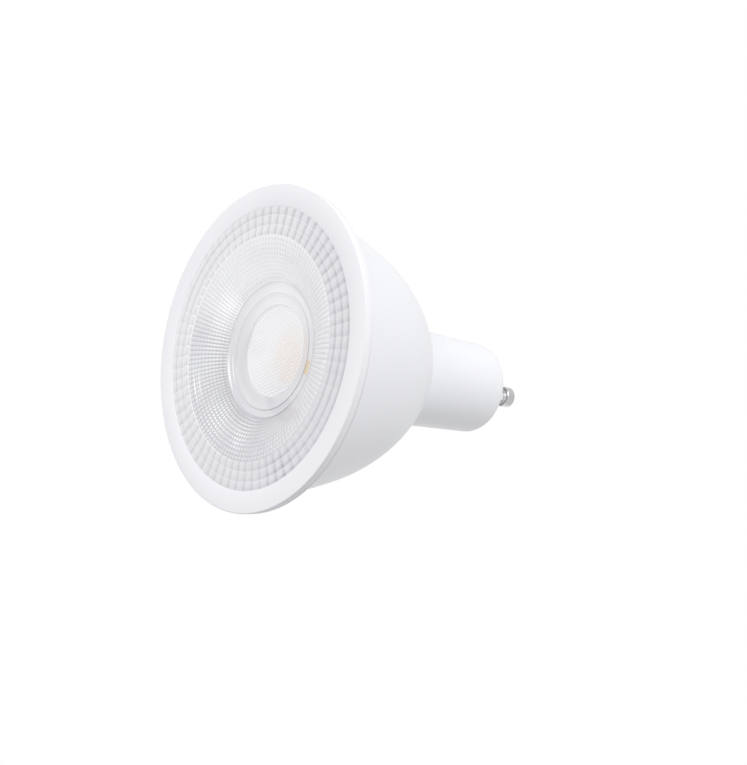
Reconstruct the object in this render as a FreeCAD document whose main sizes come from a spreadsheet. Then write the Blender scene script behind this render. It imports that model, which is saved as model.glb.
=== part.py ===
import FreeCAD, Part
import os
import Sketcher

# LED spotlight lamp, PAR16 reflector outline, two contact pins 10 mm apart.
# Origin at the centre of the bezel's front face, +Z along the lamp's axis
# towards the pins, millimetres. The lamp rests on its bezel, lens down.

doc = FreeCAD.newDocument("spotlight_lamp")
sheet = doc.addObject("Spreadsheet::Sheet", "Sizes")
sheet.Label = "Sizes"

OUT = "parts"
NODES = []


class Size:
    """A length that keeps the sheet formula it was made from."""

    def __init__(self, value, text):
        self.value = float(value)
        self.text = text

    def _pair(self, other):
        if isinstance(other, Size):
            return other
        return Size(other, repr(float(other)))

    def __add__(self, other):
        o = self._pair(other)
        return Size(self.value + o.value, "(%s + %s)" % (self.text, o.text))

    def __radd__(self, other):
        return self._pair(other) + self

    def __sub__(self, other):
        o = self._pair(other)
        return Size(self.value - o.value, "(%s - %s)" % (self.text, o.text))

    def __rsub__(self, other):
        return self._pair(other) - self

    def __mul__(self, other):
        o = self._pair(other)
        return Size(self.value * o.value, "(%s * %s)" % (self.text, o.text))

    def __rmul__(self, other):
        return self._pair(other) * self

    def __truediv__(self, other):
        o = self._pair(other)
        return Size(self.value / o.value, "(%s / %s)" % (self.text, o.text))

    def __neg__(self):
        return Size(-self.value, "(0 - %s)" % self.text)


ROW = [1]


def size(name, value, note):
    """Write one driving dimension to the sheet and return it."""
    row = ROW[0]
    ROW[0] = row + 1
    sheet.set("A%d" % row, name)
    sheet.set("B%d" % row, str(value))
    sheet.set("C%d" % row, note)
    sheet.setAlias("B%d" % row, name)
    return Size(value, "Sizes.%s" % name)


def as_size(item):
    if isinstance(item, Size):
        return item
    return Size(item, repr(float(item)))


# Driving dimensions

fit_gap = size("fit_gap", 0.3, "clearance between nested round pieces")
slip_gap = size("slip_gap", 0.1, "clearance of a small piece in its hole or on its board")

bezel_r = size("bezel_r", 25.0, "outer radius of the bezel ring, 50 mm lamp")
bezel_edge = size("bezel_edge", 0.23, "width and height of the bezel's rounded front edge")
bezel_taper = size("bezel_taper", 0.12, "taper of the bezel's side to its rear edge")
bezel_face_w = size("bezel_face_w", 3.17, "width of the bezel's flat front")
bezel_t = size("bezel_t", 1.52, "thickness of the bezel ring")
bezel_round = size("bezel_round", 0.25, "rounding of the bezel's front edge")
lip_t = size("lip_t", 0.35, "thickness of the lip over the lens rim")
mouth_z = size("mouth_z", 1.1, "front end of the housing, inside the bezel")
lens_lap = size("lens_lap", 0.4, "how far the lens rim reaches under the bezel's lip")
rim_seat = size("rim_seat", 0.6, "how far the lens rim reaches onto the housing's mouth")
mouth_w = size("mouth_w", 1.4, "width of the housing's mouth face")

dome_mid_in = size("dome_mid_in", 3.48, "how much the dome narrows from its mouth to its middle")
dome_mid_z = size("dome_mid_z", 14.0, "height where the two arcs of the dome meet")
dome_front_arc = size("dome_front_arc", 90.8, "arc radius of the front part of the dome")
dome_rear_arc = size("dome_rear_arc", 32.3, "arc radius of the rear part of the dome")
dome_rear_len = size("dome_rear_len", 15.2, "length of the rear part of the dome")
neck_len = size("neck_len", 18.5, "length of the neck")
neck_taper = size("neck_taper", 0.58, "how much the neck narrows to its end")
neck_round = size("neck_round", 1.7, "rounding of the neck's end")
wall = size("wall", 1.5, "wall of the dome")
neck_wall = size("neck_wall", 1.4, "wall of the neck")
end_wall = size("end_wall", 2.6, "thickness of the neck's end wall")
ledge_z = size("ledge_z", 3.0, "height of the ledge the cup's flange sits on")
ledge_w = size("ledge_w", 1.0, "width of that ledge")

lens_back_z = size("lens_back_z", 1.9, "back of the lens behind its outer zone")
facet_count = size("facet_count", 68, "facets round the lens in the outer zone")
facet_rows = 3
facet_gap = size("facet_gap", 0.1, "from the bezel's opening to the first facet row")
row_1_w = size("row_1_w", 1.2, "width of the outer facet row")
row_2_w = size("row_2_w", 1.55, "width of the middle facet row")
row_3_w = size("row_3_w", 1.5, "width of the inner facet row")
facet_out_z = size("facet_out_z", 0.42, "depth of the facets at the outer edge")
facet_in_z = size("facet_in_z", 0.14, "depth of the facets at the inner edge")
facet_arc = size("facet_arc", 2.6, "arc radius of one facet row")
facet_cut = size("facet_cut", 0.16, "depth of the valleys between facets")
facet_cut_w = size("facet_cut_w", 0.6, "width of the valleys between facets")
bowl_w = size("bowl_w", 6.6, "width of the ribbed bowl")
bowl_in_z = size("bowl_in_z", 2.7, "depth of the bowl's inner edge")
bowl_rows = 11
bowl_arc = size("bowl_arc", 1.1, "arc radius of one ring of the bowl")
step_a_z = size("step_a_z", 3.0, "depth of the first flat ring")
step_a_w = size("step_a_w", 1.62, "width of the first flat ring")
step_b_z = size("step_b_z", 3.5, "depth of the second flat ring")
step_b_w = size("step_b_w", 1.83, "width of the second flat ring")
disc_z = size("disc_z", 3.96, "depth of the centre disc")
step_w = size("step_w", 0.15, "width of the slope at each step")
disc_t = size("disc_t", 1.55, "thickness of the centre disc")

cup_flange_t = size("cup_flange_t", 0.8, "thickness of the cup's flange")
cup_wall = size("cup_wall", 1.0, "wall of the heat sink cup")
cup_flange_w = size("cup_flange_w", 1.5, "from the bore to the outside of the cup under its flange")
cup_taper = size("cup_taper", 2.7, "how much the cup narrows to its floor")
cup_floor_z = size("cup_floor_z", 10.0, "front face of the cup's floor")

pad_t = size("pad_t", 0.3, "thickness of the thermal pad")
board_gap = size("board_gap", 2.2, "from the cup's wall to the LED board")
board_t = size("board_t", 1.2, "thickness of the LED board")
chip_t = size("chip_t", 0.9, "thickness of the LED chip carrier")
glow_t = size("glow_t", 0.35, "height of the phosphor field")
dam_w = size("dam_w", 0.6, "width of the silicone dam")
screw_in = size("screw_in", 3.0, "from the LED board's edge to the middle of a screw")
screw_r = size("screw_r", 1.2, "radius of the screw shank")
screw_head_r = size("screw_head_r", 2.1, "radius of the screw head")
screw_head_t = size("screw_head_t", 1.4, "height of the screw head")
screw_len = size("screw_len", 5.0, "length of the screw under its head")
lead_hole_r = size("lead_hole_r", 1.9, "radius of the lead hole")

pin_pitch = size("pin_pitch", 10.0, "distance between the two contact pins")
pin_shank_r = size("pin_shank_r", 1.1, "radius of the pin's shank")
pin_collar_r = size("pin_collar_r", 1.45, "radius of the pin's collar")
pin_collar_t = size("pin_collar_t", 0.4, "thickness of the pin's collar")
pin_head_r = size("pin_head_r", 1.7, "radius of the pin's head")
pin_waist = size("pin_waist", 1.35, "from the neck's end to the pin's head")
pin_head_t = size("pin_head_t", 1.85, "length of the pin's head")
pin_land = size("pin_land", 2.56, "from the middle of a pin to the side of the neck's end")
pin_in = size("pin_in", 2.0, "length of the pin inside the end wall")
pin_edge = size("pin_edge", 0.25, "chamfer of the pin's head")

driver_t = size("driver_t", 1.2, "thickness of the driver board")
driver_gap = size("driver_gap", 3.6, "from the back of the cup to the driver board")
driver_rear_gap = size("driver_rear_gap", 2.9, "from the driver board to the neck's end wall")
driver_shoulder = size("driver_shoulder", 3.2, "shoulder of the driver board ahead of the neck")
rail_sink = size("rail_sink", 0.36, "what is left of the neck's wall outside a guide rail")
rail_t = size("rail_t", 2.2, "height of a guide rail off the neck's wall")
rail_bite = size("rail_bite", 0.9, "how far the driver board reaches into a guide rail")
rail_w = size("rail_w", 4.0, "width of a guide rail")
rail_short = size("rail_short", 2.2, "how much shorter a guide rail is than the driver board")

# Sizes that follow from them

bezel_face_r = bezel_r - bezel_edge
bezel_rear_r = bezel_r - bezel_taper
opening_r = bezel_face_r - bezel_face_w
lens_rim_r = opening_r + lens_lap
cup_bore_r = lens_rim_r - rim_seat
dome_mouth_r = cup_bore_r + mouth_w
dome_mid_r = dome_mouth_r - dome_mid_in
ledge_r = cup_bore_r - ledge_w
neck_z = dome_mid_z + dome_rear_len
neck_end_z = neck_z + neck_len
neck_end_r = pin_pitch / 2 + pin_land
neck_r = neck_end_r + neck_taper

facet_out_r = opening_r - facet_gap
facet_mid2_r = facet_out_r - row_1_w
facet_mid1_r = facet_mid2_r - row_2_w
facet_in_r = facet_mid1_r - row_3_w
bowl_in_r = facet_in_r - bowl_w
step_b_r = bowl_in_r - step_a_w
disc_r = step_b_r - step_b_w

cup_mouth_r = cup_bore_r - cup_flange_w
cup_floor_r = cup_mouth_r - cup_taper
board_r = cup_floor_r - cup_wall - board_gap
chip_side = board_r * 23 / 28
glow_r = chip_side * 43 / 115
screw_at = board_r - screw_in
lead_hole_at = board_r * 22 / 35

pin_head_z = neck_end_z + pin_waist
pin_end_z = pin_head_z + pin_head_t
driver_front_z = cup_floor_z + cup_wall + driver_gap
driver_step_z = neck_z - driver_shoulder
driver_end_z = neck_end_z - end_wall - driver_rear_gap
driver_wide = dome_mid_r * 150 / 161
rail_out = neck_end_r - rail_sink
rail_in = rail_out - rail_t
driver_slim = (rail_in + rail_bite) * 2
rail_end_z = driver_end_z - rail_short


# Building helpers

def new_body(label):
    body = doc.addObject("PartDesign::Body", label)
    body.Label = label
    NODES.append(body)
    return body


def plane_of(body, role):
    for item in body.Origin.OriginFeatures:
        if item.Role == role:
            return item
    raise RuntimeError("no plane %s" % role)


def new_sketch(body, name, role, offset=None):
    """Sketch on one of the body's own planes, moved along the plane's normal."""
    sk = body.newObject("Sketcher::SketchObject", body.Label + "_" + name)
    sk.AttachmentSupport = [(plane_of(body, role), "")]
    sk.MapMode = "FlatFace"
    if offset is not None:
        off = as_size(offset)
        sk.AttachmentOffset = FreeCAD.Placement(FreeCAD.Vector(0, 0, off.value), FreeCAD.Rotation())
        sk.setExpression("AttachmentOffset.Base.z", off.text)
    return sk


def pin_point(sk, geo, pos, x, y):
    """Fix one sketch point at x, y with values that follow the sheet."""
    x, y = as_size(x), as_size(y)
    if abs(x.value) < 1e-9:
        sk.addConstraint(Sketcher.Constraint("PointOnObject", geo, pos, -2))
    else:
        n = sk.addConstraint(Sketcher.Constraint("DistanceX", -1, 1, geo, pos, x.value))
        sk.setExpression("Constraints[%d]" % n, x.text)
    if abs(y.value) < 1e-9:
        sk.addConstraint(Sketcher.Constraint("PointOnObject", geo, pos, -1))
    else:
        n = sk.addConstraint(Sketcher.Constraint("DistanceY", -1, 1, geo, pos, y.value))
        sk.setExpression("Constraints[%d]" % n, y.text)


def arc_between(p, q, radius, side):
    """Arc between p and q, counter-clockwise. side +1 bows to the left of the way p to q."""
    mid = (p + q) * 0.5
    d = q - p
    half = d.Length / 2
    left = FreeCAD.Vector(-d.y, d.x, 0).normalize()
    rise = (radius * radius - half * half) ** 0.5
    centre = mid - left * (side * rise)
    top = centre + left * (side * radius)
    if side > 0:
        return Part.Arc(q, top, p)
    return Part.Arc(p, top, q)


def outline(sk, path):
    """Closed outline. Each item is (x, y) or (x, y, arc radius, side) for the way there."""
    pts = [FreeCAD.Vector(as_size(i[0]).value, as_size(i[1]).value, 0) for i in path]
    n = len(path)
    geos = []
    for i in range(n):
        j = (i + 1) % n
        item = path[j]
        if len(item) == 4:
            shape = arc_between(pts[i], pts[j], as_size(item[2]).value, item[3])
            g = sk.addGeometry(shape, False)
            forward = item[3] < 0
            geos.append((g, 1 if forward else 2, 2 if forward else 1, item[2]))
        else:
            g = sk.addGeometry(Part.LineSegment(pts[i], pts[j]), False)
            geos.append((g, 1, 2, None))
    for i in range(n):
        j = (i + 1) % n
        sk.addConstraint(Sketcher.Constraint("Coincident", geos[i][0], geos[i][2], geos[j][0], geos[j][1]))
    for i in range(n):
        pin_point(sk, geos[i][0], geos[i][1], path[i][0], path[i][1])
        if geos[i][3] is not None:
            radius = as_size(geos[i][3])
            c = sk.addConstraint(Sketcher.Constraint("Radius", geos[i][0], radius.value))
            sk.setExpression("Constraints[%d]" % c, radius.text)


def ring(sk, x, y, radius):
    x, y, radius = as_size(x), as_size(y), as_size(radius)
    g = sk.addGeometry(Part.Circle(FreeCAD.Vector(x.value, y.value, 0), FreeCAD.Vector(0, 0, 1), radius.value), False)
    c = sk.addConstraint(Sketcher.Constraint("Radius", g, radius.value))
    sk.setExpression("Constraints[%d]" % c, radius.text)
    pin_point(sk, g, 3, x, y)


def box_outline(sk, x0, x1, y0, y1):
    outline(sk, [(x0, y0), (x1, y0), (x1, y1), (x0, y1)])


def turned(body, name, path, groove=False):
    """Revolve an outline given as (radius, height) about the lamp's axis."""
    sk = new_sketch(body, name, "XZ_Plane")
    outline(sk, path)
    kind = "PartDesign::Groove" if groove else "PartDesign::Revolution"
    f = body.newObject(kind, body.Label + "_" + name + "_turned")
    f.Profile = sk
    f.ReferenceAxis = (sk, ["V_Axis"])
    f.Angle = 360.0
    sk.Visibility = False
    return f


def extrude(body, name, sk, length, cut=False, both=False, back=False, through=False):
    kind = "PartDesign::Pocket" if cut else "PartDesign::Pad"
    f = body.newObject(kind, body.Label + "_" + name)
    f.Profile = sk
    if through:
        f.Type = 1
    else:
        length = as_size(length)
        f.Length = length.value
        f.setExpression("Length", length.text)
    if both:
        f.Midplane = True
    f.Reversed = back
    sk.Visibility = False
    return f


def around(body, name, feature, count):
    """Repeat a feature evenly round the lamp's axis."""
    axis = None
    for item in body.Origin.OriginFeatures:
        if item.Role == "Z_Axis":
            axis = item
    p = body.newObject("PartDesign::PolarPattern", body.Label + "_" + name)
    p.Originals = [feature]
    p.Axis = (axis, [""])
    p.Angle = 360.0
    body.Tip = p
    count = as_size(count)
    p.Occurrences = int(round(count.value))
    p.setExpression("Occurrences", count.text)
    return p


def moved(body, x, y, z):
    """Place a body, each coordinate following the sheet."""
    for key, item in (("x", x), ("y", y), ("z", z)):
        item = as_size(item)
        body.setExpression("Placement.Base." + key, item.text)


# Bezel ring: white moulded ring, welded to the housing's mouth over the lens rim

seat_r = dome_mouth_r + fit_gap
bezel = new_body("bezel_ring")
turned(bezel, "section", [
    (opening_r, 0),
    (bezel_face_r, 0),
    (bezel_r, bezel_edge, bezel_round, -1),
    (bezel_rear_r, bezel_t),
    (seat_r, bezel_t),
    (seat_r, mouth_z),
    (lens_rim_r + fit_gap, mouth_z),
    (lens_rim_r + fit_gap, lip_t),
    (opening_r, lip_t),
])

# Housing: dome and neck in one white moulding, with guide rails for the driver board

shell = new_body("housing_shell")
turned(shell, "section", [
    (cup_bore_r, mouth_z),
    (dome_mouth_r, mouth_z),
    (dome_mid_r, dome_mid_z, dome_front_arc, -1),
    (neck_r, neck_z, dome_rear_arc, -1),
    (neck_end_r, neck_end_z - neck_round),
    (neck_end_r - neck_round, neck_end_z, neck_round, -1),
    (0, neck_end_z),
    (0, neck_end_z - end_wall),
    (neck_end_r - neck_wall, neck_end_z - end_wall),
    (neck_r - neck_wall, neck_z - wall * 0.5),
    (dome_mid_r - wall, dome_mid_z - wall * 0.33, dome_rear_arc - wall, 1),
    (ledge_r, ledge_z, dome_front_arc - wall, 1),
    (cup_bore_r, ledge_z),
])
for side, tag in ((1, "right"), (-1, "left")):
    sk = new_sketch(shell, "rail_" + tag, "XY_Plane", driver_step_z)
    a = rail_in * side
    b = rail_out * side
    box_outline(sk, a if side > 0 else b, b if side > 0 else a, -rail_w / 2, rail_w / 2)
    extrude(shell, "rail_" + tag + "_pad", sk, rail_end_z - driver_step_z)
    sk = new_sketch(shell, "slot_" + tag, "XY_Plane", driver_step_z - 1.0)
    a = (rail_in - 1.0) * side
    b = (driver_slim / 2 + slip_gap * 2) * side
    box_outline(sk, a if side > 0 else b, b if side > 0 else a, -(driver_t / 2 + slip_gap), driver_t / 2 + slip_gap)
    extrude(shell, "slot_" + tag + "_cut", sk, rail_end_z - driver_step_z + 2.0, cut=True, back=True)
sk = new_sketch(shell, "pin_holes", "XY_Plane", neck_end_z - end_wall - 1.0)
ring(sk, pin_pitch / 2, 0, pin_shank_r + slip_gap)
ring(sk, -pin_pitch / 2, 0, pin_shank_r + slip_gap)
extrude(shell, "pin_holes_cut", sk, end_wall + 2.0, cut=True, back=True)

# Lens: one clear moulding with a rim, three facet rows, a ribbed bowl and a sunk centre disc

lens = new_body("lens")
path = [
    (0, disc_z),
    (disc_r - step_w, disc_z),
    (disc_r, step_b_z),
    (step_b_r - step_w, step_b_z),
    (step_b_r, step_a_z),
    (bowl_in_r - step_w, step_a_z),
    (bowl_in_r, bowl_in_z),
]
span_r = facet_in_r - bowl_in_r
span_z = bowl_in_z - facet_in_z
for i in range(1, bowl_rows + 1):
    t = i / bowl_rows
    along = 0.73 * t + 0.27 * t * t
    rise = 1.0 - (1.0 - t) * (0.28 + 0.72 * (1.0 - t))
    path.append((bowl_in_r + span_r * along, bowl_in_z - span_z * rise, bowl_arc, -1))
slope = (facet_out_z - facet_in_z) / (facet_out_r - facet_in_r)
for border in (facet_mid1_r, facet_mid2_r, facet_out_r):
    path.append((border, facet_in_z + slope * (border - facet_in_r), facet_arc, -1))
path += [
    (facet_out_r, lip_t),
    (lens_rim_r, lip_t),
    (lens_rim_r, mouth_z),
    (cup_bore_r - fit_gap, mouth_z),
    (cup_bore_r - fit_gap, lens_back_z),
    (facet_in_r + 0.35, lens_back_z),
    (bowl_in_r + 0.25, bowl_in_z + disc_t * 1.2, 14.0, 1),
    (disc_r + 0.4, disc_z + disc_t),
    (0, disc_z + disc_t),
]
turned(lens, "section", path)
sk = new_sketch(lens, "valley", "YZ_Plane", facet_in_r + 0.05)
outline(sk, [
    (facet_cut_w * 0.5, -0.15),
    (0, facet_in_z + facet_cut),
    (-facet_cut_w * 0.5, -0.15),
])
valley = extrude(lens, "valley_cut", sk, facet_out_r - facet_in_r - 0.08, cut=True, back=True)
around(lens, "valleys", valley, facet_count)

# Heat sink cup: pressed aluminium cup, its flange on the housing's ledge

flange_z = ledge_z - cup_flange_t
cup = new_body("heat_sink_cup")
turned(cup, "section", [
    (0, cup_floor_z),
    (cup_floor_r - cup_wall * 1.3, cup_floor_z),
    (cup_mouth_r - cup_wall, flange_z),
    (cup_bore_r - fit_gap, flange_z),
    (cup_bore_r - fit_gap, ledge_z),
    (cup_mouth_r, ledge_z),
    (cup_floor_r, cup_floor_z + cup_wall),
    (0, cup_floor_z + cup_wall),
])
sk = new_sketch(cup, "holes", "XY_Plane", cup_floor_z - 1.0)
ring(sk, 0, lead_hole_at, lead_hole_r)
ring(sk, screw_at, 0, screw_r + slip_gap)
ring(sk, -screw_at, 0, screw_r + slip_gap)
extrude(cup, "holes_cut", sk, cup_wall + 2.0, cut=True, back=True)

# Thermal pad between the cup and the LED board

pad = new_body("thermal_pad")
sk = new_sketch(pad, "disc", "XY_Plane", cup_floor_z - pad_t)
ring(sk, 0, 0, board_r - 0.5)
ring(sk, 0, lead_hole_at, lead_hole_r)
ring(sk, screw_at, 0, screw_r + fit_gap)
ring(sk, -screw_at, 0, screw_r + fit_gap)
extrude(pad, "disc_pad", sk, pad_t)

# LED board: aluminium-core disc, white solder mask

board_z = cup_floor_z - pad_t - board_t
board = new_body("led_board")
sk = new_sketch(board, "disc", "XY_Plane", board_z)
ring(sk, 0, 0, board_r)
ring(sk, 0, lead_hole_at, lead_hole_r)
ring(sk, screw_at, 0, screw_r + fit_gap)
ring(sk, -screw_at, 0, screw_r + fit_gap)
extrude(board, "disc_pad", sk, board_t)

# LED chip: carrier, silicone dam and phosphor field

chip_z = board_z - chip_t
carrier = new_body("led_chip_carrier")
sk = new_sketch(carrier, "plate", "XY_Plane", chip_z)
half = chip_side / 2
box_outline(sk, -half, half, -half, half)
extrude(carrier, "plate_pad", sk, chip_t)

dam = new_body("led_chip_dam")
sk = new_sketch(dam, "band", "XY_Plane", chip_z - glow_t - 0.1)
ring(sk, 0, 0, glow_r + slip_gap + dam_w)
ring(sk, 0, 0, glow_r + slip_gap)
extrude(dam, "band_pad", sk, glow_t + 0.1)

glow = new_body("led_phosphor")
sk = new_sketch(glow, "field", "XY_Plane", chip_z - glow_t)
ring(sk, 0, 0, glow_r)
extrude(glow, "field_pad", sk, glow_t)

# Two pan-head screws hold the LED board to the cup

for side, tag in ((1, "1"), (-1, "2")):
    screw = new_body("board_screw_" + tag)
    turned(screw, "section", [
        (0, -screw_head_t),
        (screw_head_r * 0.62, -screw_head_t),
        (screw_head_r, -screw_head_t * 0.45),
        (screw_head_r, 0),
        (screw_r, 0),
        (screw_r, screw_len - screw_r),
        (screw_r * 0.3, screw_len),
        (0, screw_len),
    ])
    for turn, plane in (("long", 0), ("cross", 1)):
        sk = new_sketch(screw, "drive_" + turn, "XY_Plane", -screw_head_t)
        a = screw_head_r * 0.5
        b = screw_head_r * 0.13
        if plane == 0:
            box_outline(sk, -a, a, -b, b)
        else:
            box_outline(sk, -b, b, -a, a)
        extrude(screw, "drive_" + turn + "_cut", sk, screw_head_t * 0.55, cut=True, back=True)
    moved(screw, screw_at * side, 0, board_z)

# Driver board: T-shaped, its slim part in the neck's guide rails

driver = new_body("driver_board")
sk = new_sketch(driver, "plate", "XZ_Plane", -driver_t / 2)
w = driver_wide / 2
n = driver_slim / 2
outline(sk, [
    (-w, driver_front_z),
    (w, driver_front_z),
    (w, driver_step_z),
    (n, driver_step_z),
    (n, driver_end_z),
    (-n, driver_end_z),
    (-n, driver_step_z),
    (-w, driver_step_z),
])
extrude(driver, "plate_pad", sk, driver_t)

face_y = driver_t / 2


def block(label, x0, x1, depth, z0, z1, side, edge=0.25):
    """Component with flat sides standing on one face of the driver board."""
    body = new_body(label)
    sk = new_sketch(body, "foot", "XZ_Plane", -face_y if side > 0 else face_y)
    box_outline(sk, x0, x1, z0, z1)
    pad_f = extrude(body, "foot_pad", sk, depth, back=side > 0)
    top = []
    doc.recompute()
    for i, e in enumerate(pad_f.Shape.Edges):
        y = [v.Point.y * side for v in e.Vertexes]
        if min(y) > face_y.value + as_size(depth).value - 1e-6:
            top.append("Edge%d" % (i + 1))
    c = body.newObject("PartDesign::Chamfer", label + "_edges")
    c.Base = (pad_f, top)
    c.Size = edge
    return body


# Components on the driver board

part_in = size("part_in", 1.0, "from the driver board's edge to the first component")
part_row = size("part_row", 2.4, "from the components in the dome to the board's shoulder")
film_w = driver_wide / 2 - part_in * 2
film_d = size("film_d", 4.6, "depth of the film capacitor")
part_z = driver_front_z + part_in
film_h = driver_step_z - part_z - part_row
block("film_capacitor", -(film_w + part_in), -part_in, film_d, part_z, part_z + film_h, -1, 0.4)

ic_w = size("ic_w", 4.9, "width of the driver chip")
ic_d = size("ic_d", 1.5, "depth of the driver chip")
ic_h = size("ic_h", 3.9, "height of the driver chip")
ic_z = driver_step_z - part_row + part_in
block("driver_chip", -ic_w / 2, ic_w / 2, ic_d, ic_z, ic_z + ic_h, -1)

bridge_w = size("bridge_w", 4.7, "width of the bridge rectifier")
bridge_d = size("bridge_d", 1.6, "depth of the bridge rectifier")
bridge_h = size("bridge_h", 3.9, "height of the bridge rectifier")
bridge_z = driver_end_z - bridge_h - part_in * 1.3
block("bridge_rectifier", -bridge_w / 2, bridge_w / 2, bridge_d, bridge_z, bridge_z + bridge_h, -1)


def can(label, x, radius, z0, length, side, pinch):
    """Round component lying along the driver board."""
    body = new_body(label)
    radius, length = as_size(radius), as_size(length)
    if pinch:
        path = [
            (0, 0), (radius * 0.9, 0), (radius, radius * 0.1),
            (radius, radius * 0.35), (radius * 0.9, radius * 0.5), (radius, radius * 0.65),
            (radius, length - radius * 0.1), (radius * 0.9, length), (0, length),
        ]
    else:
        path = [
            (0, 0), (radius * 0.8, 0), (radius, radius * 0.3),
            (radius, radius * 1.0), (radius * 0.86, radius * 1.2),
            (radius * 0.86, length - radius * 1.2), (radius, length - radius * 1.0),
            (radius, length - radius * 0.3), (radius * 0.8, length), (0, length),
        ]
    turned(body, "section", path)
    moved(body, x, (face_y + slip_gap + radius) * side, z0)
    return body


can_gap = size("can_gap", 0.46, "from the input capacitor to the neck's wall")
can_r = (neck_end_r - neck_wall - face_y - slip_gap - can_gap) / 2
can_z = driver_step_z + part_in * 2.8
can_len = driver_end_z - part_row - can_z
can("input_capacitor", 0, can_r, can_z, can_len, 1, True)

out_r = driver_wide * 31 / 180
out_len = film_h
out_x = driver_wide * 52 / 180
can("output_capacitor", -out_x, out_r, part_z, out_len, 1, True)

fuse_r = size("fuse_r", 1.2, "radius of the fusible resistor")
fuse_x = driver_slim / 2 - part_in * 3
fuse_z = driver_step_z + part_in * 3.6
fuse_len = bridge_z - part_in * 0.9 - fuse_z
can("fusible_resistor", -fuse_x, fuse_r, fuse_z, fuse_len, -1, False)

diode_r = size("diode_r", 1.3, "radius of the output diode")
diode_len = size("diode_len", 5.2, "length of the output diode")
diode_x = driver_wide * 46 / 180
can("output_diode", diode_x, diode_r, part_z + 1.0, diode_len, -1, False)

# Varistor: coated disc flat on the driver board

disc_part_r = (rail_in - slip_gap * 8) / 2
disc_part_t = size("disc_part_t", 2.0, "thickness of the varistor")
varistor = new_body("varistor")
sk = new_sketch(varistor, "disc", "XZ_Plane", face_y)
ring(sk, disc_part_r + slip_gap * 2, driver_step_z + (driver_end_z - driver_step_z) * 11 / 27, disc_part_r)
extrude(varistor, "disc_pad", sk, disc_part_t)

# Inductor: ferrite drum and its winding, axis across the driver board

drum_r = driver_wide * 40 / 180
drum_core_r = drum_r * 19 / 40
coil_r = drum_r * 7 / 8
drum_len = size("drum_len", 7.0, "length of the drum core")
drum_flange = size("drum_flange", 1.0, "flange thickness of the drum core")
drum_x = driver_wide * 30 / 180
drum_z = part_z + film_h * 3 / 5
drum = new_body("inductor_core")
turned(drum, "section", [
    (0, 0), (drum_r, 0), (drum_r, drum_flange), (drum_core_r, drum_flange),
    (drum_core_r, drum_len - drum_flange), (drum_r, drum_len - drum_flange),
    (drum_r, drum_len), (0, drum_len),
])
coil = new_body("inductor_winding")
turned(coil, "section", [
    (drum_core_r + slip_gap, drum_flange + slip_gap),
    (coil_r, drum_flange + slip_gap),
    (coil_r, drum_len - drum_flange - slip_gap),
    (drum_core_r + slip_gap, drum_len - drum_flange - slip_gap),
])
for body in (drum, coil):
    body.Placement = FreeCAD.Placement(FreeCAD.Vector(0, 0, 0), FreeCAD.Rotation(FreeCAD.Vector(1, 0, 0), -90))
    moved(body, drum_x, face_y, drum_z)

# Contact pins: turned and nickel-plated, collar on the neck's end face

for side, tag in ((1, "1"), (-1, "2")):
    pin = new_body("contact_pin_" + tag)
    turned(pin, "section", [
        (0, neck_end_z - end_wall - pin_in),
        (pin_shank_r, neck_end_z - end_wall - pin_in),
        (pin_shank_r, neck_end_z),
        (pin_collar_r, neck_end_z),
        (pin_collar_r, neck_end_z + pin_collar_t),
        (pin_shank_r, neck_end_z + pin_collar_t),
        (pin_shank_r, pin_head_z),
        (pin_head_r - pin_edge, pin_head_z),
        (pin_head_r, pin_head_z + pin_edge),
        (pin_head_r, pin_end_z - pin_edge),
        (pin_head_r - pin_edge, pin_end_z),
        (0, pin_end_z),
    ])
    moved(pin, pin_pitch / 2 * side, 0, 0)

doc.recompute()

# Leads: insulated wires along smooth curves

lead_r = size("lead_r", 0.5, "radius of a lead")


def lead(label, points, radius):
    vectors = [FreeCAD.Vector(*[as_size(c).value for c in p]) for p in points]
    curve = Part.BSplineCurve()
    curve.interpolate(vectors)
    wire = Part.Wire([curve.toShape()])
    start = Part.Wire([Part.Circle(vectors[0], curve.tangent(curve.FirstParameter)[0], as_size(radius).value).toShape()])
    shape = wire.makePipeShell([start], True, True)
    f = doc.addObject("Part::Feature", label)
    f.Label = label
    f.Shape = shape
    NODES.append(f)
    return f


on_face = face_y + lead_r + slip_gap * 0.5
under = board_z - lead_r - slip_gap * 0.5
for side, tag in ((1, "plus"), (-1, "minus")):
    lead("led_lead_" + tag, [
        (side * 1.1, on_face, driver_front_z + 0.8),
        (side * 1.0, on_face + 0.9, driver_front_z - 0.6),
        (side * 0.8, lead_hole_at - 1.0, cup_floor_z + cup_wall + 1.2),
        (side * 0.75, lead_hole_at, board_z + board_t * 0.5),
        (side * 1.5, lead_hole_at + 0.3, under),
        (side * 3.4, lead_hole_at - 0.9, under),
    ], lead_r)
pin_in_z = neck_end_z - end_wall - pin_in
beside_pin = pin_shank_r + lead_r + slip_gap * 0.5
for side, tag in ((1, "1"), (-1, "2")):
    lead("pin_lead_" + tag, [
        (pin_pitch / 2 * side, beside_pin, pin_in_z + lead_r * 2.6),
        (pin_pitch / 2 * side, beside_pin, pin_in_z),
        ((driver_slim / 2 - part_in * 1.6) * side, on_face + slip_gap * 2, driver_end_z - 1.6),
        ((driver_slim / 2 - part_in * 2) * side, on_face + slip_gap, driver_end_z - 4.0),
    ], lead_r)

doc.recompute()

# Check and write

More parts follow.
